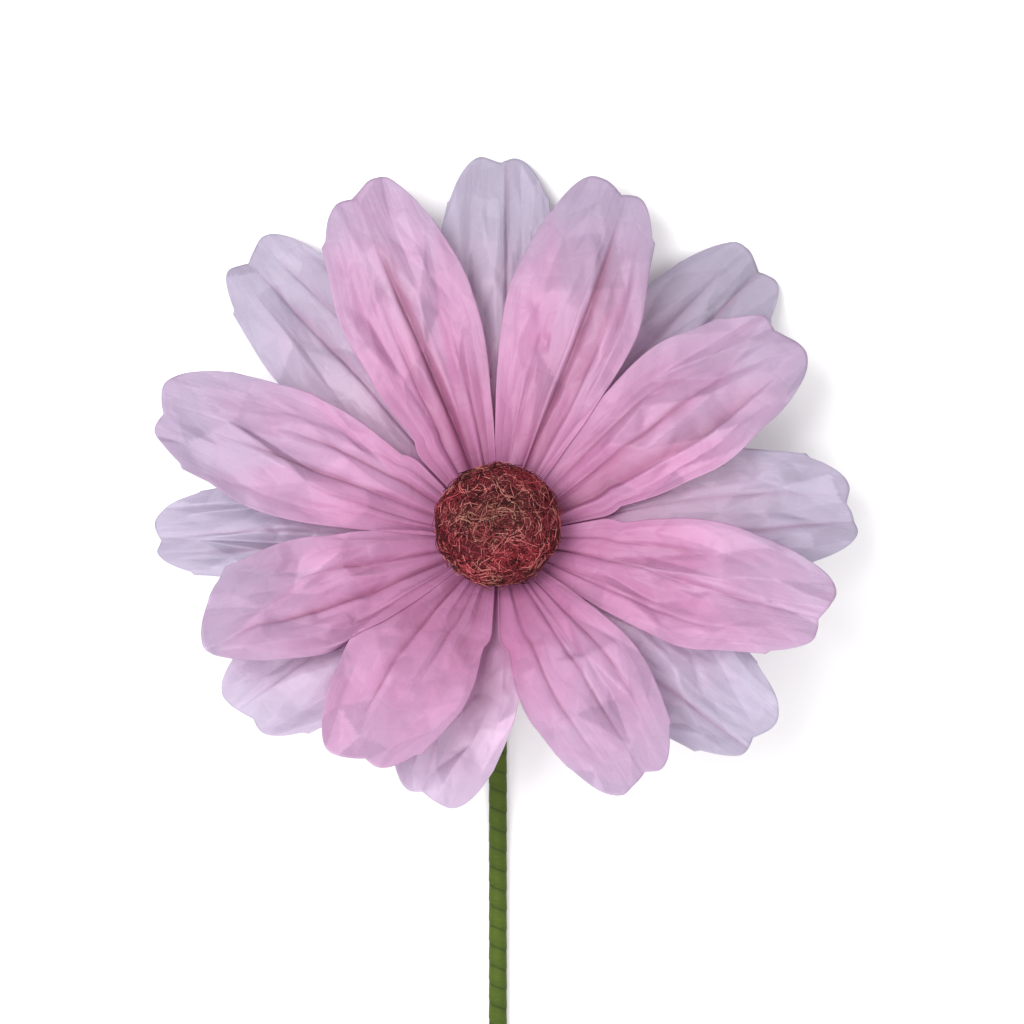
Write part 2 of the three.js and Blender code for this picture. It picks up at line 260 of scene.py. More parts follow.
@dataclass(frozen=True)
class PaperFinish:
    """Thin dyed paper: pink at the gather, paler and greyer to the tip, letting light through, with painted
    light and shade: darker at the gather under the ball, in the grooves, on facets and where another sheet
    lies beneath, and shifted petal by petal.
    """

    name: str
    base: Colour
    middle: Colour
    tip: Colour
    # Painted shade where another sheet lies beneath: a deeper pink standing for the light filtered through
    # two sheets.
    full: Colour
    # Painted shade in the grooves, where a crease runs deep.
    fold: Colour = (0.36, 0.07, 0.17)
    # Painted shade under the ball: the gather colour, darker than the base colour, stands for the shade round
    # the neck.
    gather: Colour = (0.31, 0.055, 0.145)
    # Painted shading of the crumpled facets: the darkest that a facet turned from the light gets.
    shade: Colour = (0.79, 0.775, 0.805)
    reaches: tuple[float, ...] = (0.0, 0.14, 0.235, 0.52, 0.92)
    show_through_share: float = 0.75
    groove_shade_share: float = 0.5
    through: float = 0.44

    def make(self, group: NodeTree) -> Material:
        """Build the material.

        Args:
            group: The tissue-paper node group.

        Returns:
            The material.
        """
        material, kit, shader = start_material(self.name)
        paper = kit.add("Group", node_tree=group)
        paper.inputs["Cloud Scale"].default_value = 14.0
        split = kit.add("SeparateXYZ", Vector=kit.uv())
        shift = kit.math("MULTIPLY", kit.math("SUBTRACT", paper.outputs["Tone"], 0.5), 0.5)
        # Painted light and shade, petal by petal: the per-petal shift moves the colour ramp towards the
        # gather or the tip.
        reach = kit.math("MULTIPLY", split.outputs[1], kit.math("SUBTRACT", 1.0, kit.attribute("painted_light_shift")))
        along = kit.math("ADD", reach, shift, clamp=True)
        ramp_colours = (self.gather, self.gather, self.base, self.middle, self.tip)
        colour = kit.ramp(along, tuple(zip(self.reaches, ramp_colours)))
        # Painted shade: a deeper pink where another sheet lies beneath, standing for light filtered through
        # two sheets, and the dark fold colour in the grooves.
        for mask, weight, shade_colour in (("show_through_shade", self.show_through_share, self.full), ("deep", self.groove_shade_share, self.fold)):
            share = kit.math("MULTIPLY", kit.attribute(mask), weight, clamp=True)
            colour = kit.mix(share, colour, (*shade_colour, 1.0))
        # Painted facet shading: each facet's tone darkens its colour towards the shade colour.
        facet = kit.ramp(kit.attribute("tone"), ((0.0, self.shade), (1.0, WHITE)))
        colour = kit.mix(1.0, colour, facet, "MULTIPLY")
        bump = kit.bump(0.6, 0.0007, paper.outputs["Height"])
        kit.dress(shader, Base_Color=colour, Roughness=0.45, Specular_IOR_Level=0.5, Normal=bump)
        glow = kit.add("BsdfTranslucent", Color=colour, Normal=bump)
        both = kit.add("MixShader")
        both.inputs[0].default_value = self.through
        kit.feed(both.inputs[1], shader.outputs[0])
        kit.feed(both.inputs[2], glow.outputs[0])
        kit.feed(material.node_tree.nodes["Material Output"].inputs[0], both.outputs[0])
        return material


@dataclass(frozen=True)
class FibreFinish:
    """Dyed curled fibre, each strand its own tone, which also carries painted shade: darker for strands
    deeper in the ball.
    """

    name: str
    deep: Colour
    middle: Colour
    bright: Colour
    light: Colour

    def make(self) -> Material:
        """Build the material.

        Returns:
            The material.
        """
        material, kit, shader = start_material(self.name)
        place = kit.place()
        patch = kit.noise(place, 70.0, 2.0)
        stain = kit.noise(place, 38.0, 2.0)
        speck = kit.noise(place, 1200.0, 2.0)
        shift = kit.math("MULTIPLY", kit.math("SUBTRACT", patch, 0.5), 0.5)
        share = kit.math("ADD", kit.attribute("tone"), shift, clamp=True)
        ramp_colours = ((0.08, self.deep), (0.36, self.middle), (0.6, self.bright), (0.86, self.light))
        stains = ((0.36, (1.0, 0.6, 0.7)), (0.5, (0.95, 0.88, 0.88)), (0.68, (0.68, 0.82, 0.66)))
        dyed = kit.mix(1.0, kit.ramp(share, ramp_colours), kit.ramp(stain, stains), "MULTIPLY")
        specks = kit.ramp(speck, ((0.3, self.deep), (0.7, self.light)))
        colour = kit.mix(0.35, dyed, specks, "OVERLAY")
        bump = kit.bump(0.5, 0.0001, speck)
        kit.dress(shader, Base_Color=colour, Roughness=0.7, Specular_IOR_Level=0.2, Normal=bump)
        return material


@dataclass(frozen=True)
class TapeFinish:
    """Waxed crepe tape: fine lengthwise crinkles and a painted shadow at the foot of each lap's edge."""

    name: str
    pitch: float
    light: Colour
    dark: Colour

    def make(self) -> Material:
        """Build the material.

        Returns:
            The material.
        """
        material, kit, shader = start_material(self.name)
        uv = kit.uv()
        split = kit.add("SeparateXYZ", Vector=uv)
        laps = kit.math("DIVIDE", split.outputs[1], self.pitch)
        lap = kit.math("FRACT", kit.math("SUBTRACT", laps, split.outputs[0]))
        stretched = kit.add("Mapping", Vector=uv, Scale=(6.0, 900.0, 1.0)).outputs[0]
        crepe = kit.noise(stretched, 1.0, 4.0)
        cloud = kit.noise(kit.place(), 45.0, 3.0)
        tone = kit.math("ADD", kit.math("MULTIPLY", crepe, 0.6), kit.math("MULTIPLY", cloud, 0.5), clamp=True)
        colour = kit.ramp(tone, ((0.25, self.dark), (0.8, self.light)))
        # Painted shadow at the foot of each lap's edge, where one lap steps down on to the next.
        shades = ((0.0, (0.38, 0.4, 0.36)), (0.16, (0.92, 0.92, 0.9)), (0.5, WHITE), (1.0, (0.8, 0.82, 0.75)))
        edge = kit.ramp(lap, shades)
        colour = kit.mix(1.0, colour, edge, "MULTIPLY")
        bump = kit.bump(0.6, 0.0003, crepe)
        kit.dress(shader, Base_Color=colour, Roughness=0.7, Specular_IOR_Level=0.25, Normal=bump)
        return material


@dataclass(frozen=True)
class PlainFinish:
    """A mottled finish for steel, card and the floor."""

    name: str
    light: Colour
    dark: Colour
    scale: float
    roughness: float
    metallic: float = 0.0

    def make(self) -> Material:
        """Build the material.

        Returns:
            The material.
        """
        material, kit, shader = start_material(self.name)
        tone = kit.noise(kit.place(), self.scale, 5.0)
        colour = kit.ramp(tone, ((0.3, self.dark), (0.7, self.light)))
        bump = kit.bump(0.2, 0.0002, tone)
        kit.dress(shader, Base_Color=colour, Roughness=self.roughness, Metallic=self.metallic, Normal=bump)
        return material


# --- shared shapes


@dataclass(frozen=True)
class HeadFrame:
    """Where the flower head is: its hub, and its axis tilted towards the upper petals."""

    tilt: float = math.radians(16)
    ball_half_height: float = 27.0
    ball_radius: float = 35.0
    steepest: float = 28.0
    ball_clearance: float = 4.2

    @property
    def ball_centre(self) -> float:
        """The ball's level on the axis, in millimetres over the hub."""
        slope = math.tan(math.radians(self.steepest))
        return math.hypot(self.ball_half_height, slope * self.ball_radius) + self.ball_clearance

    @property
    def axis(self) -> Vector:
        """The head's axis, out of the flower's face."""
        return Vector((0.0, math.sin(self.tilt), math.cos(self.tilt)))

    @property
    def hub(self) -> Vector:
        """The gather point, in metres."""
        low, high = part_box("ball_core")
        return (Vector(low) + Vector(high)) / 2 - self.axis * self.ball_centre * MM

    def place(self, points: Array) -> Array:
        """Turn head coordinates into the part's own.

        Args:
            points: Points in millimetres, with z along the head's axis.

        Returns:
            Points in metres.
        """
        c, s = math.cos(self.tilt), math.sin(self.tilt)
        x, y, z = points[..., 0], points[..., 1], points[..., 2]
        turned = np.stack((x, y * c + z * s, z * c - y * s), -1)
        return turned * MM + np.array(self.hub)


def grid_mesh(name: str, across: int, along: int) -> tuple[Mesh, Array, Array]:
    """Make a square grid mesh with a UV map.

    Args:
        name: The mesh's name.
        across: Faces along u.
        along: Faces along v.

    Returns:
        The mesh and, for each vertex, its column and row.
    """
    bm = bmesh.new()
    bm.loops.layers.uv.new("UVMap")
    bmesh.ops.create_grid(bm, x_segments=across, y_segments=along, size=1.0, calc_uvs=True)
    mesh = bpy.data.meshes.new(name)
    bm.to_mesh(mesh)
    bm.free()
    flat = np.empty(len(mesh.vertices) * 3)
    mesh.vertices.foreach_get("co", flat)
    flat = flat.reshape(-1, 3)
    columns = np.rint((flat[:, 0] + 1) / 2 * across).astype(int)
    rows = np.rint((flat[:, 1] + 1) / 2 * along).astype(int)
    return mesh, columns, rows


def close_seam(mesh: Mesh) -> None:
    """Join a rolled grid's two edges and turn its faces outwards.

    Args:
        mesh: The mesh.
    """
    bm = bmesh.new()
    bm.from_mesh(mesh)
    bmesh.ops.remove_doubles(bm, verts=bm.verts[:], dist=1e-6)
    bmesh.ops.recalc_face_normals(bm, faces=bm.faces[:])
    bm.to_mesh(mesh)
    bm.free()


def lap_depth(turns: Array) -> Array:
    """How far a wound tape's surface lies under its lap's edge.

    Args:
        turns: Place along the winding, in turns.

    Returns:
        Shares of the lap's height.
    """
    slope = 0.9
    wound = turns % 1.0
    return 1 - np.where(wound < slope, wound / slope, (1 - wound) / 0.1)


def scale_v(mesh: Mesh, start: float, length: float) -> None:
    """Give a UV map's v in metres along the piece.

    Args:
        mesh: The mesh, with v from 0 to 1.
        start: Where v starts, in millimetres.
        length: Its length, in millimetres.
    """
    uv = np.empty(len(mesh.loops) * 2)
    mesh.uv_layers[0].data.foreach_get("uv", uv)
    uv[1::2] = (start + length * uv[1::2]) * MM
    mesh.uv_layers[0].data.foreach_set("uv", uv)


def thicken(piece: Object, thickness: float, offset: float = -1.0) -> None:
    """Give an open surface a wall.

    Args:
        piece: The piece.
        thickness: The wall's thickness, in millimetres.
        offset: Where the surface is in the wall: -1 for its outside, 0 for its middle.
    """
    skin = piece.modifiers.new("wall", "SOLIDIFY")
    skin.thickness = thickness * MM
    skin.offset = offset


def finish_object(name: str, mesh: Mesh, material: Material, nodes: tuple[str, ...]) -> Object:
    """Put a mesh in the scene as a finished piece.

    Args:
        name: The piece's name.
        mesh: Its mesh.
        material: Its material.
        nodes: The CAD nodes that it stands for.

    Returns:
        The object.
    """
    mesh.materials.append(material)
    mesh.polygons.foreach_set("use_smooth", [True] * len(mesh.polygons))
    piece = bpy.data.objects.new(name, mesh)
    bpy.context.scene.collection.objects.link(piece)
    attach(piece, "root")
    if nodes:
        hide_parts(*nodes)
    log.info("%s: %d faces", name, len(mesh.polygons))
    return piece


# --- petals


@dataclass(frozen=True)
class Crease:
    """A fold that runs from the hub towards the tip; places across run from -1 to 1."""

    base: float
    tip: float
    depth: float
    width: float = 3.0
    start: float = 0.08
    end: float = 0.7
    fold: Fold = Fold.GROOVE
    fade_in: float = 0.08
    fade_from: float = 0.7
    fade_out: float = 0.35
    step_half: float = 1.2
    near_side: float = 0.35

    def height(self, across: Array, reach: Array, half: Array) -> Array:
        """How far the fold moves the paper.

        Args:
            across: Place across, from -1 to 1.
            reach: Share of the length.
            half: Half the width there, in millimetres.

        Returns:
            Heights in millimetres.
        """
        span = np.clip((reach - self.start) / (self.end - self.start), 0, 1)
        line = self.base + (self.tip - self.base) * span
        away = (across - line) * half
        leaving = smooth((reach - self.end * self.fade_from) / (self.end * self.fade_out))
        fade = smooth((reach - self.start) / self.fade_in) * (1 - leaving)
        if self.fold is Fold.STEP:
            shape = np.clip(away / self.step_half, -1, 1) * np.exp(-np.abs(away) / (3 * self.width))
            return self.depth * shape * fade
        shape = np.exp(-np.abs(away) / np.where(away < 0, self.near_side * self.width, self.width))
        return -self.depth * shape * fade


@dataclass(frozen=True)
class Petal:
    """One gathered paper petal, in millimetres and degrees; left is counterclockwise from above."""

    azimuth: float
    length: float
    width: float
    rise: float
    curl: float
    left: float = 1.0
    right: float = 1.0
    lobes: Span = (1.0, 0.97)
    lobe_at: Span = (-0.3, 0.3)
    crumple: float = 7.0
    # Shift of the colour ramp towards the gather, painting light and shade petal by petal; a negative shift
    # moves it towards the paler tip.
    painted_light_shift: float = 0.0
    creases: tuple[Crease, ...] = ()


@dataclass
class PetalRing:
    """A ring of petals gathered at one radius.

    Lengths are in millimetres. A span is a start and a length, over which something comes in or
    fades out.
    """

    layer: Layer
    radius: float
    bend_start: float
    claw_end: float
    petals: tuple[Petal, ...]
    camber: float = 600.0
    early: float = 0.0
    early_span: float = 0.55
    early_turn: float = 1.4
    curl_power: float = 1.2
    bend: float = 6.0
    columns: int = 84
    rows: int = 120
    row_power: float = 1.08
    thickness: float = 0.25
    seed: int = 7
    claw_half_width: float = 2.4
    fan_share: float = 0.64
    fan_power: float = 1.5
    fill: float = 1.04
    fill_span: Span = (55, 50)
    taper: float = 0.26
    taper_span: Span = (0.58, 0.42)
    spread: float = 1.1
    spread_span: Span = (22, 30)
    edge_gap: float = 0.25
    lobe_drop: float = 0.2
    notch_drop: float = 0.08
    notch_power: float = 1.6
    tip_wander: tuple[int, float] = (11, 0.0015)
    side_wander: tuple[int, float] = (13, 0.012)
    side_span: Span = (0.1, 0.4)
    wander_span: Span = (0.1, 0.3)
    pleat_count: int = 4
    large_facets: tuple[int, int] = (5, 6)
    small_facets: tuple[int, int] = (11, 16)
    small_share: float = 0.26
    crumple_span: Span = (0.12, 0.5)
    tip_calm: float = 0.75
    tip_span: Span = (0.7, 0.3)
    edge_calm: float = 0.6
    edge_span: Span = (0.6, 0.4)
    # How strongly the painted facet shading lightens or darkens large and small facets.
    facet_shades: Span = (0.40, 0.16)
    facet_shade_span: Span = (0.15, 0.3)
    fold_depth: float = 2.6
    wave_height: float = 4.0
    wave_length: Span = (42, 60)
    wave_span: Span = (0.25, 0.5)
    opening: float = 22

    def half_width(self, petal: Petal, along: Array, radius: Array, room: float) -> Array:
        """Half a petal's width on one side.

        Args:
            petal: The petal.
            along: Distance past the bend's start.
            radius: Distance from the axis.
            room: Half the angle to the neighbour on that side, in radians.

        Returns:
            Half widths in millimetres.
        """
        reach = along / petal.length
        claw = self.claw_half_width
        fan = np.clip((along - self.bend) / (self.fan_share * petal.length), 0, 1)
        wide = claw + (petal.width / 2 - claw) * (1 - (1 - fan) ** self.fan_power)
        filled = self.fill * radius * math.sin(room) * (1 - eased(radius, self.fill_span))
        wide = np.maximum(wide, filled)
        wide = wide * (1 - self.taper * eased(reach, self.taper_span))
        free = radius * math.sin(room) * (1 + self.spread * eased(radius, self.spread_span)) - self.edge_gap
        return np.minimum(wide, free)

    def share(self, petal: Petal, across: Array) -> Array:
        """Share of the length that a place across reaches, with two lobes and a notch.

        Args:
            petal: The petal.
            across: Places from -1 to 1.

        Returns:
            Shares of the length.
        """
        tops = []
        for side, reach, at in zip((-1, 1), petal.lobes, petal.lobe_at):
            away = (across - at) * side
            outer = np.clip(away / (1 - abs(at)), 0, 1)
            inner = np.maximum(0, -away)
            rounded = self.lobe_drop * (1 - np.sqrt(1 - outer**2))
            tops.append(reach - rounded - self.notch_drop * inner**self.notch_power)
        return np.maximum(tops[0], tops[1])

    def centre_line(self, petal: Petal) -> tuple[Array, ...]:
        """Integrate the line that climbs the neck, bends out and curls to the tip.

        Args:
            petal: The petal.

        Returns:
            Arrays of distance, radius, level and slope.
        """
        claw = self.bend_start - self.claw_end
        along = np.linspace(-claw, petal.length * 1.05, 500)
        bent = smooth(along / self.bend)
        reach = np.maximum(0, along - self.bend) / (petal.length - self.bend)
        arch = self.early * (1 - smooth(reach / self.early_span) * self.early_turn)
        slope = np.radians(90 + (petal.rise + arch - 90) * bent - petal.curl * reach**self.curl_power)
        step = along[1] - along[0]
        radius = self.radius + np.concatenate(((0,), np.cumsum(np.cos(slope[:-1]) * step)))
        level = self.claw_end + np.concatenate(((0,), np.cumsum(np.sin(slope[:-1]) * step)))
        return along, radius, level, slope

    def facets(
        self, rng: np.random.Generator, count: tuple[int, int], u: Array, reach: Array
    ) -> tuple[Array, Array]:
        """Flat facets with sharp edges, as in paper that was crumpled and opened.

        Args:
            rng: The petal's random source.
            count: Facet corners across the petal and along it.
            u: Places across, from -1 to 1.
            reach: Shares of the length.

        Returns:
            Heights from about -1 to 1, and each facet's painted shading, lighter or darker, also from about
            -1 to 1.
        """
        slip_limit, height_spread, tone_spread = 0.42, 0.55, 0.5
        across, along = count
        places, heights = [], []
        for j in range(-1, along + 2):
            for i in range(-1, across + 2):
                slip = rng.uniform(-slip_limit, slip_limit, 2)
                places.append(Vector((i + slip[0] + 0.5 * (j % 2), j + slip[1])))
                heights.append(rng.normal(0, height_spread))
        corners, _, faces, *_ = delaunay_2d_cdt(places, [], [], 0, 1e-6)
        tree = BVHTree.FromPolygons([(*corner, height) for corner, height in zip(corners, heights)], faces)
        spots = zip(((u + 1) / 2 * across).ravel(), (reach * along).ravel())
        # Each facet's painted shading, as if it faced the light at its own angle.
        facet_shades = rng.normal(0, tone_spread, len(faces))
        hits = [tree.ray_cast(Vector((a, b, 9.0)), DOWN) for a, b in spots]
        height = np.array([0.0 if hit[0] is None else hit[0].z for hit in hits]).reshape(u.shape)
        tone = np.array([0.0 if hit[0] is None else facet_shades[hit[2]] for hit in hits]).reshape(u.shape)
        return height, tone

    def pleats(self, rng: np.random.Generator, across: Array, reach: Array, half: Array) -> Array:
        """Knife pleats that start under the ball and run out along the blade.

        Args:
            rng: The petal's random source.
            across: One row of places from -1 to 1.
            reach: Share of the length, for each vertex.
            half: Half the width, for each vertex.

        Returns:
            Heights in millimetres.
        """
        wide_gap, narrow_gap, heights_range, ends_range = (0.5, 1.7), (0.12, 0.6), (0.25, 1.25), (0.25, 0.9)
        drift_spread, tallest, tall_share, start_span, fade_share = 0.12, 1.5, 0.085, (0.02, 0.05), 0.25
        gaps = np.empty(2 * self.pleat_count)
        gaps[0::2] = rng.uniform(*wide_gap, self.pleat_count)
        gaps[1::2] = rng.uniform(*narrow_gap, self.pleat_count)
        folds = np.concatenate(((0,), np.cumsum(gaps)))
        folds = folds / folds[-1] * 2 - 1
        sides = np.where(np.arange(len(folds)) % 2 == 0, 1.0, -1.0)
        heights = sides * rng.uniform(*heights_range, len(folds))
        ends = rng.uniform(*ends_range, len(folds))
        drift = rng.normal(0, drift_spread, len(folds))
        drift[[0, -1]] = 0
        height = np.zeros_like(half)
        for row in range(half.shape[0]):
            far = float(reach[row].mean())
            size = min(tallest, tall_share * float(half[row].mean())) * eased(far, start_span)
            fade = 1 - smooth((far - fade_share * ends) / ends)
            height[row] = np.interp(across, np.sort(folds + drift * far), heights * size * fade)
        return height

    def surface(self, petal: Petal, room: Span, index: int) -> tuple[Array, dict[str, Array]]:
        """Shape one petal in head coordinates.

        Args:
            petal: The petal.
            room: Half the angles to its two neighbours, in radians.
            index: Its place in the ring.

        Returns:
            Points as a rows by columns grid, and how deep its folds lie, which sets the painted groove shade,
            and each facet's painted shading, from 0 to 1.
        """
        rng = np.random.default_rng(self.seed * 100 + index)
        line, *along_line = self.centre_line(petal)
        claw = self.bend_start - self.claw_end
        u = np.linspace(-1, 1, self.columns + 1)[None, :]
        v = np.linspace(0, 1, self.rows + 1)[:, None] ** self.row_power
        knots, spread = self.tip_wander
        ends = self.share(petal, u) + np.interp(u, np.linspace(-1, 1, knots), rng.normal(0, spread, knots))
        s = -claw + (claw + petal.length * ends) * v
        radius, level, slope = (np.interp(s, line, values) for values in along_line)
        half = np.where(u < 0, *(self.half_width(petal, s, radius, each) for each in room))
        reach = np.clip(s / petal.length, 0, 1)
        side = np.where(u < 0, petal.left, petal.right)
        side = 1 + (side - 1) * eased(reach, self.side_span)
        knots, spread = self.side_wander
        places = np.linspace(0, 1.05, knots)
        ragged = [np.interp(reach, places, rng.normal(0, spread, knots)) for _ in range(2)]
        side = side * (1 + np.where(u < 0, *ragged) * eased(reach, self.wander_span))
        x = u * half * side
        height = sum((crease.height(u, reach, half) for crease in petal.creases), np.zeros_like(x))
        height = height + self.pleats(rng, u[0], reach, half)
        # Painted shade in the grooves: the deeper a groove, the more of the dark fold colour.
        deep = smooth(-height / self.fold_depth)
        place = u + 0 * s
        calm = self.tip_calm * eased(reach, self.tip_span)
        crumpled = eased(reach, self.crumple_span) * (1 - calm)
        crumpled = crumpled * (1 - self.edge_calm * eased(np.abs(place), self.edge_span))
        large, large_shade = self.facets(rng, self.large_facets, place, reach)
        small, small_shade = self.facets(rng, self.small_facets, place, reach)
        height = height + petal.crumple * crumpled * (large + self.small_share * small)
        # Painted facet shading: each facet lighter or darker by its own share, as if it faced the light
        # differently.
        facet_shading = self.facet_shades[0] * large_shade + self.facet_shades[1] * small_shade
        tone = np.clip(0.5 + eased(reach, self.facet_shade_span) * facet_shading, 0, 1)
        seed = Vector((index * 3.1, self.seed * 1.7, 0))
        wide, long = self.wave_length
        wave = [noise.noise(Vector((a / wide, b / long, 0)) + seed) for a, b in zip(x.ravel(), s.ravel())]
        height = height + np.array(wave).reshape(x.shape) * self.wave_height * eased(reach, self.wave_span)
        open_up = smooth((s - self.bend) / self.opening)
        bend = (1 - open_up) / self.radius + open_up / self.camber
        lift = (1 - np.cos(x * bend)) / bend + height * smooth(s / 12)
        sideways = np.sin(x * bend) / bend
        outward = radius - np.sin(slope) * lift
        upward = level + np.cos(slope) * lift
        cos, sin = math.cos(math.radians(petal.azimuth)), math.sin(math.radians(petal.azimuth))
        points = np.stack((sideways * cos + outward * sin, outward * cos - sideways * sin, upward), -1)
        return points, {"deep": deep, "tone": tone}

    def rooms(self) -> list[Span]:
        """Half the angles from each petal to its neighbours before and after it.

        Returns:
            A pair of angles for each petal, in radians.
        """
        turns = [petal.azimuth for petal in self.petals]
        count = len(turns)
        gaps = [math.radians((turns[(i + 1) % count] - turns[i]) % 360) / 2 for i in range(count)]
        return [(gaps[i - 1], gaps[i]) for i in range(count)]


class Stack:
    """Lays petals on one another, each clear of those below it."""

    PASSES = 60
    CLEAR_RADIUS = 22
    LIGHT_REACH = 16

    def __init__(self, gap: float = 0.8) -> None:
        """Start with nothing laid, and a clear gap between sheets' middles in millimetres."""
        self.gap = gap
        self.laid: list[Array] = []

    def blur(self, values: Array) -> Array:
        """Average each value with its neighbours."""
        wide = np.pad(values, 1, mode="edge")
        rows, columns = wide[:, 1:-1], wide[1:-1]
        return (wide[1:-1, 1:-1] * 2 + rows[:-2] + rows[2:] + columns[:, :-2] + columns[:, 2:]) / 6

    def lay(self, points: Array) -> tuple[Array, Array]:
        """Lift a petal off everything laid so far, and add it.

        Args:
            points: Its grid of points in head coordinates.

        Returns:
            The lifted grid, and how strongly another sheet beneath it shows through, which sets its painted
            shade.
        """
        rows, columns = points.shape[:2]
        need = np.zeros((rows, columns))
        show_through_shade = np.zeros((rows, columns))
        if self.laid:
            tree = self.tree()
            for j in range(rows):
                for i in range(columns):
                    x, y, z = points[j, i]
                    if x * x + y * y < self.CLEAR_RADIUS**2:
                        continue
                    hit = tree.ray_cast(Vector((x, y, 200)), DOWN)[0]
                    if hit is not None:
                        need[j, i] = max(0.0, hit.z + self.gap - z)
                        # Painted shade where another sheet lies beneath, stronger the nearer that sheet.
                        show_through_shade[j, i] = math.exp(-max(0.0, z - hit.z) / self.LIGHT_REACH)
        lift = need
        for _ in range(self.PASSES):
            lift = np.maximum(need, self.blur(lift))
        points = points.copy()
        points[..., 2] += lift
        self.laid.append(points)
        return points, self.blur(self.blur(show_through_shade))

    def tree(self) -> BVHTree:
        """Build the search tree of all petals laid.

        Returns:
            The tree.
        """
        corners, faces = [], []
        for grid in self.laid:
            rows, columns = grid.shape[:2]
            first = len(corners)
            corners.extend(map(tuple, grid.reshape(-1, 3)))
            for j in range(rows - 1):
                starts = range(first + j * columns, first + (j + 1) * columns - 1)
                faces.extend((at, at + 1, at + 1 + columns, at + columns) for at in starts)
        return BVHTree.FromPolygons(corners, faces)


@dataclass
class Corolla:
    """Both rings of petals, laid from the lowest sheet to the uppermost."""

    head: HeadFrame
    front: PetalRing
    back: PetalRing
    order: tuple[tuple[Layer, int], ...]
    floor: float = 0.0006
    soft: float = 0.0008
    fold_share: float = 1.08
    foot: float = 14.0
    outline_share: float = 0.72

    def build(self, papers: dict[Layer, Material]) -> None:
        """Make every petal.

        Args:
            papers: Each layer's material.
        """
        stack = Stack()
        rings = {Layer.FRONT: self.front, Layer.BACK: self.back}
        rooms = {layer: ring.rooms() for layer, ring in rings.items()}
        for layer, number in self.order:
            ring = rings[layer]
            petal = ring.petals[number - 1]
            points, masks = ring.surface(petal, rooms[layer][number - 1], number)
            points, masks["show_through_shade"] = stack.lay(points)
            # The per-petal shift of the colour ramp, which paints light and shade petal by petal.
            masks["painted_light_shift"] = np.full(masks["show_through_shade"].shape, petal.painted_light_shift)
            self.sheet(ring, number, points, masks, papers[layer])

    def sheet(
        self, ring: PetalRing, number: int, points: Array, masks: dict[str, Array], paper: Material
    ) -> None:
        """Turn a shaped grid into a finished sheet of paper.

        Args:
            ring: The petal's ring.
            number: Its number in the ring.
            points: Its grid in head coordinates.
            masks: Named values over the grid, that its material reads.
            paper: Its material.
        """
        name = f"{ring.layer.value}_paper_{number}"
        mesh, columns, rows = grid_mesh(name, ring.columns, ring.rows)
        placed = self.head.place(points)
        placed[..., 2] = self.floor + np.logaddexp(0, (placed[..., 2] - self.floor) / self.soft) * self.soft
        mesh.vertices.foreach_set("co", placed[rows, columns].ravel())
        for mask, values in masks.items():
            layer = mesh.attributes.new(mask, "FLOAT", "POINT")
            layer.data.foreach_set("value", values[rows, columns].ravel())
        piece = finish_object(name, mesh, paper, (f"{ring.layer.value}_petal_{number}",))
        thicken(piece, ring.thickness, 0.0)


# --- ball


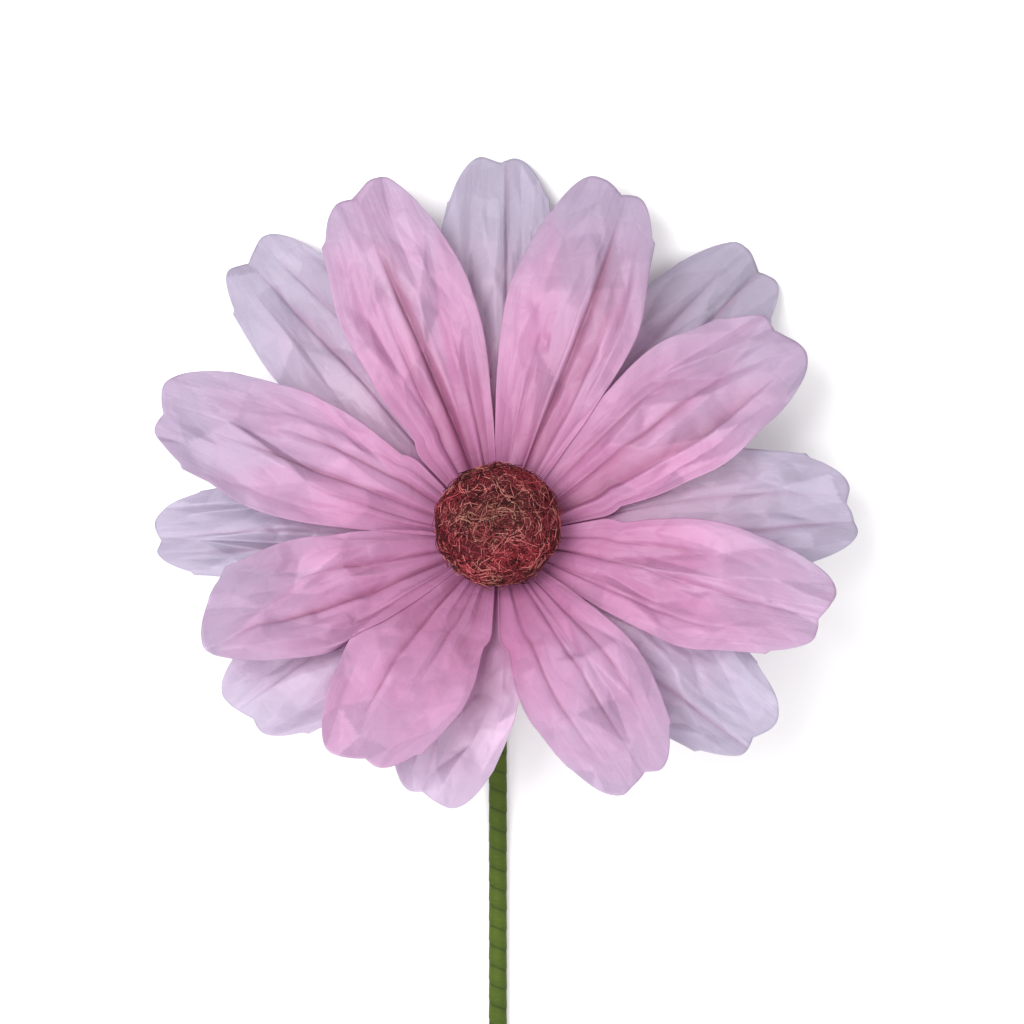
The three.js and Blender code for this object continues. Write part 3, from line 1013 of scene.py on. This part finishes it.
@dataclass
class FibreBall:
    """An oval ball of curled, dyed fibre over a bed, with painted shade that darkens the bed, the lower fibre
    and the deeper strands.
    """

    head: HeadFrame
    strands: int = 2900
    points: int = 9
    step: float = 2.7
    mean_radius: float = 32.0
    thickness: float = 0.24
    thin_and_thick: Span = (0.6, 1.15)
    bed_share: float = 0.88
    lowest: float = -0.82
    bow: float = 0.42
    wander: float = 0.36
    lump: float = 0.05
    lump_scale: float = 2.6
    ripple: float = 0.016
    stray_height: float = 0.08
    tone_spread: Span = (1.3, 1.6)
    depth_shade: float = 3.0
    seed: int = 11
    layers_made: int = 0

    @property
    def size(self) -> Array:
        """The ball's half sizes, in millimetres."""
        return np.array((self.head.ball_radius, self.head.ball_radius, self.head.ball_half_height))

    def build(self, deep: Material, loose: Material) -> None:
        """Make the bed and the three layers of fibre.

        Args:
            deep: Finish of the lower fibre and the bed, a darker copy of the fibre colours as painted shade.
            loose: Finish of the upper fibre.
        """
        self.bed(deep)
        self.fibres("fibre_under", (0.87, 0.93), 0.02, 1.0, deep)
        self.fibres("fibre_over", (0.92, 0.985), 0.04, 1.0, loose, ("ball_fibre",))
        self.fibres("fibre_curls", (0.965, 1.015), 0.10, 0.7, loose)

    def bed(self, material: Material) -> None:
        """Make the lumpy ball under the fibre.

        Args:
            material: Its finish.
        """
        bm = bmesh.new()
        bmesh.ops.create_icosphere(bm, subdivisions=5, radius=1.0)
        for vert in bm.verts:
            lump = 1 + 0.03 * noise.noise(vert.co * 7)
            vert.co = vert.co * Vector(self.size) * self.bed_share * lump
            vert.co.z += self.head.ball_centre
        mesh = bpy.data.meshes.new("ball_bed")
        bm.to_mesh(mesh)
        bm.free()
        flat = np.empty(len(mesh.vertices) * 3)
        mesh.vertices.foreach_get("co", flat)
        mesh.vertices.foreach_set("co", self.head.place(flat.reshape(-1, 3)).ravel())
        # The bed takes the darkest colour of the shaded finish: painted shade in the gaps between strands.
        mesh.attributes.new("tone", "FLOAT", "POINT").data.foreach_set("value", [0.05] * len(mesh.vertices))
        finish_object("ball_bed", mesh, material, ("ball_core",))

    def fibres(
        self, name: str, depths: Span, stray: float, share: float, look: Material, nodes: tuple[str, ...] = ()
    ) -> None:
        """Wind curled strands over the ball.

        Args:
            name: The piece's name.
            depths: Where the innermost and outermost strands lie, as shares of the ball's size.
            stray: Share of strands whose ends stand out.
            share: How many strands, as a share of the full number.
            look: Their finish.
            nodes: CAD nodes that the piece stands for.
        """
        rng = np.random.default_rng(self.seed + self.layers_made)
        self.layers_made += 1
        count = int(self.strands * share)
        z = rng.uniform(self.lowest, 1.0, count)
        turn = rng.uniform(0, 2 * math.pi, count)
        flat = np.sqrt(1 - z * z)
        place = np.stack((flat * np.cos(turn), flat * np.sin(turn), z), 1)
        heading = np.cross(place, rng.normal(size=(count, 3)))
        heading /= np.linalg.norm(heading, axis=1, keepdims=True)
        depth = rng.uniform(*depths, count)
        bow = rng.normal(0, self.bow, count)
        strays = (rng.random(count) < stray) * self.stray_height
        turn_ripple, stray_from = 1.3, 0.55
        track = []
        for k in range(self.points):
            far = k / (self.points - 1)
            lump = np.array([self.lump * noise.noise(Vector(spot * self.lump_scale)) for spot in place])
            out = depth + lump + self.ripple * np.sin(k * turn_ripple + turn * 9)
            out = out + strays * max(0, far - stray_from) / (1 - stray_from)
            track.append(place * self.size * out[:, None])
            place = place + heading * (self.step / self.mean_radius)
            place /= np.linalg.norm(place, axis=1, keepdims=True)
            heading -= place * np.sum(heading * place, axis=1, keepdims=True)
            aside = np.cross(place, heading)
            swing = (bow + rng.normal(0, self.wander, count))[:, None]
            heading = heading * np.cos(swing) + aside * np.sin(swing)
            heading /= np.linalg.norm(heading, axis=1, keepdims=True)
        track = np.stack(track, 1) + np.array((0, 0, self.head.ball_centre))
        track = self.head.place(track)
        lines = bpy.data.curves.new(name, "CURVE")
        lines.dimensions = "3D"
        lines.bevel_depth = self.thickness * MM
        lines.bevel_resolution = 0
        lines.use_fill_caps = True
        for strand, thick in zip(track, rng.uniform(*self.thin_and_thick, count)):
            spline = lines.splines.new("POLY")
            spline.points.add(self.points - 1)
            spline.points.foreach_set("co", np.column_stack((strand, np.ones(self.points))).ravel())
            spline.points.foreach_set("radius", [thick] * self.points)
        holder = bpy.data.objects.new(name + "_line", lines)
        mesh = bpy.data.meshes.new_from_object(holder)
        mesh.name = name
        bpy.data.objects.remove(holder)
        each = len(mesh.vertices) // count
        # Painted shade: strands that lie deeper in the ball get a darker tone.
        depth_shading = self.depth_shade * (depth - sum(depths) / 2)
        tone = np.clip(rng.beta(*self.tone_spread, count) + depth_shading, 0, 1)
        mesh.attributes.new("tone", "FLOAT", "POINT").data.foreach_set("value", np.repeat(tone, each))
        mesh.materials.clear()
        finish_object(name, mesh, look, nodes)


# --- stem


@dataclass
class Stem:
    """The tape-wrapped stem, from the head's axis round the neck bend and along the surface."""

    head: HeadFrame
    radius: float = 5.5
    bend_radius: float = 22.0
    length: float = 560.0
    hub_height: float = 45.0
    pitch: float = 11.8
    tape: float = 0.8
    wire: float = 2.0
    padding: float = 4.4
    play: float = 0.3

    def line(self, distance: Array) -> tuple[Array, Array]:
        """Follow the stem's middle line.

        Args:
            distance: Distance down from the hub, in millimetres.

        Returns:
            Points relative to the hub, and the angle turned from straight down.
        """
        tilt = self.head.tilt
        neck = (self.hub_height - self.radius - self.bend_radius * (1 - math.sin(tilt))) / math.cos(tilt)
        turn = (math.pi / 2 - tilt) * self.bend_radius
        angle = tilt + np.clip((distance - neck) / self.bend_radius, 0, math.pi / 2 - tilt)
        straight = np.minimum(distance, neck)
        run = np.maximum(0, distance - neck - turn)
        y = -straight * math.sin(tilt) + self.bend_radius * (np.cos(angle) - math.cos(tilt)) - run
        z = -straight * math.cos(tilt) - self.bend_radius * (np.sin(angle) - math.sin(tilt))
        return np.stack((np.zeros_like(y), y, z), -1), angle

    def tube(
        self, name: str, start: float, end: float, radius: float, lap: float, around: int, spacing: float
    ) -> Mesh:
        """Make an open tube along the stem, wound in laps.

        Args:
            name: The mesh's name.
            start: Distance from the hub where it starts.
            end: Distance where it ends.
            radius: Its outer radius.
            lap: How far each lap's edge stands out.
            around: Faces round it.
            spacing: Length of a face along it.

        Returns:
            The mesh, its UV map's v in metres along the stem.
        """
        rows_count = int((end - start) / spacing)
        mesh, columns, rows = grid_mesh(name, around, rows_count)
        turn = columns / around
        down = start + (end - start) * rows / rows_count
        out = radius - lap * lap_depth(down / self.pitch - turn)
        middle, angle = self.line(down)
        phi = 2 * math.pi * turn
        side = np.stack((np.cos(phi), np.sin(phi) * np.cos(angle), -np.sin(phi) * np.sin(angle)), -1)
        points = (middle + side * out[:, None]) * MM + np.array(self.head.hub)
        mesh.vertices.foreach_set("co", points.ravel())
        scale_v(mesh, start, end - start)
        close_seam(mesh)
        return mesh

    def build(self, tape: Material, card: Material, steel: Material) -> None:
        """Make the tape and the padding, and give the wire its finish.

        Args:
            tape: The tape's finish.
            card: The padding's finish.
            steel: The wire's finish.
        """
        outer = self.tube("stem_winding", -1.0, self.length, self.radius, lap=0.28, around=36, spacing=0.8)
        winding = finish_object("stem_winding", outer, tape, ("stem_tape",))
        thicken(winding, self.tape - self.play)
        end = self.length - 1.0
        inner = self.tube("stem_padding", -3.0, end, self.padding, lap=0.0, around=28, spacing=4.0)
        padding = finish_object("stem_padding", inner, card, ("stem_sleeve",))
        thicken(padding, self.padding - self.wire - self.play)
        for node in ("stem_wire", "binding_wire"):
            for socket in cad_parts[node].material_slots:
                socket.material = steel


@dataclass
class Calyx:
    """Tape wound over the gathered ends, tapering on to the stem."""

    head: HeadFrame
    pitch: float = 5.5
    lap: float = 0.35
    ripple: float = 0.12
    ripples: int = 8
    wall: float = 0.5
    profile: tuple[Span, ...] = (
        (-22.8, 6.6),
        (-20.5, 6.8),
        (-17.5, 10.2),
        (-14.5, 10.8),
        (-9.0, 10.6),
        (-5.6, 10.8),
    )

    def build(self, tape: Material) -> None:
        """Make the wrap.

        Args:
            tape: The tape's finish.
        """
        around, along = 48, 60
        mesh, columns, rows = grid_mesh("calyx_winding", around, along)
        levels, radii = zip(*self.profile)
        length = levels[-1] - levels[0]
        level = levels[0] + length * rows / along
        turn = columns / around
        phi = 2 * math.pi * turn
        out = np.interp(level, levels, radii) - self.lap * lap_depth(level / self.pitch - turn)
        out = out + self.ripple * np.sin(self.ripples * phi)
        points = np.stack((np.cos(phi) * out, np.sin(phi) * out, level), -1)
        mesh.vertices.foreach_set("co", self.head.place(points).ravel())
        scale_v(mesh, 0.0, length)
        close_seam(mesh)
        thicken(finish_object("calyx_winding", mesh, tape, ("calyx_wrap",)), self.wall)


# --- studio


@dataclass
class Studio:
    """Plain pale floor, soft light and the camera that looks down on the flower."""

    head: HeadFrame
    lens: float = 87.3
    height: float = 1.5
    aside: Span = (0.0085, 0.0074)
    floor_drop: float = 0.0005
    ambient: float = 0.75

    def area(self, name: str, place: Vector, size: float, power: float, aim: Vector) -> None:
        """Add a soft square light.

        Args:
            name: Its name.
            place: Where it is.
            size: Its side in metres.
            power: Its power in watts.
            aim: The point that it faces.
        """
        data = bpy.data.lights.new(name, "AREA")
        data.size = size
        data.energy = power
        lamp = bpy.data.objects.new(name, data)
        lamp.location = place
        lamp.rotation_euler = (aim - place).to_track_quat("-Z", "Y").to_euler()
        bpy.context.scene.collection.objects.link(lamp)

    def build(self) -> None:
        """Make the floor, lights, world and camera."""
        bm = bmesh.new()
        bmesh.ops.create_grid(bm, x_segments=4, y_segments=4, size=6.0)
        mesh = bpy.data.meshes.new("floor")
        bm.to_mesh(mesh)
        bm.free()
        white = PlainFinish("floor_white", (0.9, 0.9, 0.9), (0.88, 0.88, 0.88), 3.0, 0.9)
        mesh.materials.append(white.make())
        floor = bpy.data.objects.new("floor", mesh)
        floor.location = (0, 0, -self.floor_drop)
        bpy.context.scene.collection.objects.link(floor)
        hub = self.head.hub
        self.area("key", hub + Vector((-0.6, 0.25, 1.35)), 0.8, 21.5, hub)
        self.area("fill", hub + Vector((0.2, -0.8, 1.5)), 1.4, 15.0, hub)
        world = bpy.data.worlds.new("studio")
        world.use_nodes = True
        sky = world.node_tree.nodes["Background"]
        sky.inputs["Color"].default_value = (*WHITE, 1.0)
        sky.inputs["Strength"].default_value = self.ambient
        scene = bpy.context.scene
        scene.world = world
        scene.view_settings.view_transform = "Standard"
        ball = hub + self.head.axis * self.head.ball_centre * MM
        data = bpy.data.cameras.new("camera")
        data.lens = self.lens
        data.sensor_width = 36.0
        camera = bpy.data.objects.new("camera", data)
        camera.location = (ball.x + self.aside[0], ball.y + self.aside[1], self.height)
        scene.collection.objects.link(camera)
        scene.camera = camera


# --- the flower


FRONT = (
    Petal(
        19, 221, 82, 19, 16, painted_light_shift=0.05, lobes=(1.0, 0.98), lobe_at=(-0.4, 0.42),
        creases=(
            Crease(0.1, 0.25, 5.0, 3.0, end=0.9), Crease(-0.5, -0.35, 1.6, end=0.6),
            Crease(0.75, 0.7, 2.0, start=0.4, end=0.9, fold=Fold.STEP),
        ),
    ),
    Petal(
        57, 206, 80, 20, 14, painted_light_shift=0.12, right=1.08, lobes=(0.97, 1.0), lobe_at=(-0.45, 0.4),
        creases=(
            Crease(0.1, -0.1, 2.8, end=0.8), Crease(0.55, 0.5, 2.4, 2.4, end=0.95, fold=Fold.STEP),
            Crease(-0.4, -0.5, 1.8, end=0.7),
        ),
    ),
    Petal(
        108, 201, 78, 24, 14, painted_light_shift=0.16, crumple=5.5, lobes=(1.0, 0.98), lobe_at=(-0.4, 0.4),
        creases=(
            Crease(-0.15, 0.1, 2.5, 1.7, end=0.98), Crease(-0.6, -0.5, 1.6, 2.0, end=0.7),
            Crease(0.5, 0.6, 1.8, 2.0, end=0.75),
        ),
    ),
    Petal(
        153, 185, 76, 27, 12, painted_light_shift=0.14, crumple=4.5, lobes=(0.98, 1.0), lobe_at=(-0.42, 0.4),
        creases=(
            Crease(0.0, -0.1, 2.0, 1.5, end=0.95), Crease(0.5, 0.45, 1.8, 1.5, end=0.9),
            Crease(-0.45, -0.6, 1.7, 1.5, end=0.85),
        ),
    ),
    Petal(
        209, 174, 77, 28, 12, painted_light_shift=0.3, crumple=5.0, lobes=(0.97, 1.0), lobe_at=(-0.42, 0.42),
        creases=(
            Crease(0.3, 0.25, 2.2, 1.6, end=0.9), Crease(-0.3, -0.2, 1.6, 1.8, end=0.7),
        ),
    ),
    Petal(
        249, 186, 78, 24, 12, painted_light_shift=0.1, right=0.82, lobes=(1.0, 0.94), lobe_at=(-0.45, 0.3),
        creases=(
            Crease(-0.3, -0.35, 2.8, 2.4, end=0.9), Crease(0.2, 0.3, 2.0, end=0.7),
        ),
    ),
    Petal(
        289, 210, 78, 21, 14, lobes=(0.98, 1.0), lobe_at=(-0.42, 0.36),
        creases=(
            Crease(0.0, -0.15, 2.4, end=0.8), Crease(-0.5, -0.4, 2.0, end=0.6),
            Crease(0.5, 0.3, 1.8, end=0.7),
        ),
    ),
    Petal(
        338, 223, 82, 19, 16, painted_light_shift=0.12, lobes=(0.975, 1.0), lobe_at=(-0.42, 0.36),
        creases=(
            Crease(0.1, -0.1, 5.5, 3.2, end=0.85), Crease(-0.4, -0.3, 2.2, end=0.7),
            Crease(0.6, 0.5, 1.8, end=0.6),
        ),
    ),
)
BACK = (
    Petal(
        0, 234, 76, 11, 13, lobes=(1.0, 0.99), lobe_at=(-0.36, 0.36),
        creases=(Crease(0.1, 0.2, 2.4, 1.8, start=0.3, end=1.15),),
    ),
    Petal(
        42, 235, 84, 10, 20.5, left=0.95, lobes=(1.0, 0.985), lobe_at=(-0.36, 0.45),
        creases=(
            Crease(0.2, 0.1, 2.6, end=1.1), Crease(-0.35, -0.3, 1.8, end=1.0),
        ),
    ),
    Petal(
        86, 207, 80, 11, 14, left=1.08, lobes=(0.985, 1.0), lobe_at=(-0.42, 0.36),
        creases=(
            Crease(0.3, 0.2, 2.4, end=1.1), Crease(-0.3, -0.35, 1.8, end=1.0),
        ),
    ),
    Petal(
        129, 192, 78, 14, 12, painted_light_shift=-0.05, lobes=(1.0, 0.985), lobe_at=(-0.36, 0.4),
        creases=(Crease(0.3, 0.35, 2.4, end=1.1),),
    ),
    Petal(
        193, 165, 74, 16, 8, painted_light_shift=0.3, lobes=(1.0, 0.97), lobe_at=(-0.4, 0.4),
        creases=(Crease(0.1, 0.2, 2.0, end=1.0),),
    ),
    Petal(
        233, 182, 82, 15, 12, painted_light_shift=0.2, lobes=(0.97, 1.0), lobe_at=(-0.42, 0.42),
        creases=(Crease(0.0, 0.1, 2.0, end=1.0),),
    ),
    Petal(
        269.5, 197, 68, 11, 14, left=0.86, painted_light_shift=-0.15, lobes=(0.99, 1.0), lobe_at=(-0.34, 0.34),
        creases=(
            Crease(0.1, 0.0, 2.2, end=1.0), Crease(-0.4, -0.45, 1.8, start=0.3, end=1.0),
        ),
    ),
    Petal(
        320, 234, 84, 10, 19, right=0.95, lobes=(0.985, 1.0), lobe_at=(-0.45, 0.36),
        creases=(
            Crease(0.0, -0.1, 2.6, end=1.0), Crease(0.4, 0.35, 1.8, end=1.0),
        ),
    ),
)
BACK_ORDER = (1, 3, 2, 8, 7, 6, 5, 4)
FRONT_ORDER = (4, 2, 5, 6, 3, 7, 1, 8)


def main() -> None:
    """Build the flower and its studio."""
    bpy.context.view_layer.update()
    head = HeadFrame()
    Studio(head).build()
    paper = paper_group()
    pink = PaperFinish(
        "front_paper",
        base=(0.57, 0.18, 0.38),
        middle=(0.68, 0.385, 0.59),
        tip=(0.53, 0.425, 0.565),
        full=(0.66, 0.27, 0.50),
    )
    pale = PaperFinish(
        "back_paper",
        base=(0.58, 0.24, 0.44),
        middle=(0.72, 0.55, 0.70),
        tip=(0.585, 0.53, 0.65),
        full=(0.68, 0.34, 0.56),
        fold=(0.48, 0.26, 0.42),
    )
    papers = {Layer.FRONT: pink.make(paper), Layer.BACK: pale.make(paper)}
    claw_end = -16.0
    front = PetalRing(Layer.FRONT, 6.2, 1.0, claw_end, FRONT)
    back = PetalRing(Layer.BACK, 7.7, -4.0, claw_end, BACK, camber=140.0, early=8.0, seed=19)
    order = [(Layer.BACK, number) for number in BACK_ORDER]
    order += [(Layer.FRONT, number) for number in FRONT_ORDER]
    Corolla(head, front, back, tuple(order)).build(papers)
    # A darker copy of the fibre colours: painted shade for the lower fibre and the bed.
    deep = FibreFinish(
        "fibre_shaded",
        deep=(0.025, 0.003, 0.005),
        middle=(0.08, 0.012, 0.016),
        bright=(0.16, 0.02, 0.03),
        light=(0.26, 0.09, 0.08),
    )
    loose = FibreFinish(
        "fibre_loose",
        deep=(0.026, 0.003, 0.005),
        middle=(0.145, 0.02, 0.027),
        bright=(0.31, 0.05, 0.07),
        light=(0.58, 0.27, 0.24),
    )
    FibreBall(head).build(deep.make(), loose.make())
    stem, calyx = Stem(head), Calyx(head)
    tape = TapeFinish("stem_tape", stem.pitch * MM, light=(0.07, 0.108, 0.006), dark=(0.033, 0.057, 0.003))
    card = PlainFinish("padding_card", (0.34, 0.32, 0.22), (0.22, 0.2, 0.12), scale=400.0, roughness=0.85)
    steel = PlainFinish(
        "wire_steel", (0.42, 0.42, 0.42), (0.28, 0.28, 0.28), scale=300.0, roughness=0.42, metallic=1.0
    )
    stem.build(tape.make(), card.make(), steel.make())
    wrap = TapeFinish("calyx_tape", calyx.pitch * MM, light=(0.075, 0.115, 0.010), dark=(0.035, 0.06, 0.005))
    calyx.build(wrap.make())


if __name__ == "__main__":
    main()
